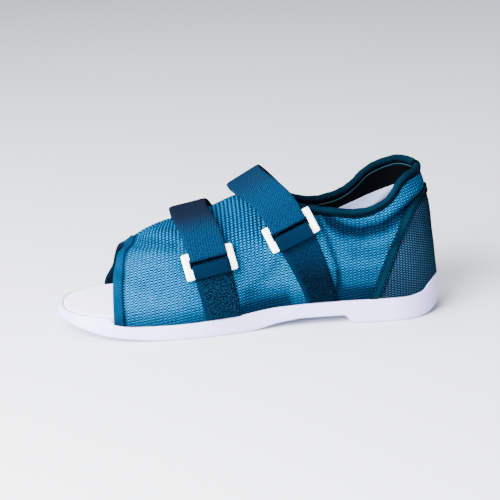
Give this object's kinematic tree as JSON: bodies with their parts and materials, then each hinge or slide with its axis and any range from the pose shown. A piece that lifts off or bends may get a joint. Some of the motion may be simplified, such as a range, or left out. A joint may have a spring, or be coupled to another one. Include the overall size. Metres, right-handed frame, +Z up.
{
  "type": "post operative shoe",
  "caption": "Open-toed post operative shoe with a mesh upper, padded collar, rocker sole and webbing straps through rectangular rings.",
  "frame": {"origin": "on the floor, in the middle of the flat under the heel", "axes": "+X to the toe, +Y to the side with the rings (the shoe's left), +Z up"},
  "size_m": [0.262, 0.0953, 0.1059],
  "materials": {
    "sole": "matt lavender-white foam rubber",
    "insole": "smooth pale lining cloth over foam",
    "mesh": "blue ribbed spacer mesh, black lining",
    "binding": "dark teal binding tape",
    "tape": "dark teal flat tape",
    "ring": "white moulded plastic",
    "webbing": "deep blue woven webbing",
    "pile": "near-black brushed loop pile"
  },
  "bodies": {
    "root": {"outsole": "sole", "insole": "insole", "upper": "mesh", "toe_binding": "binding", "collar_roll": "binding", "counter_tape": "tape", "ring_front": "ring", "strap_front": "webbing", "anchor_front": "pile", "ring_rear": "ring", "strap_rear": "webbing", "anchor_rear": "pile"}
  },
  "joints": []
}
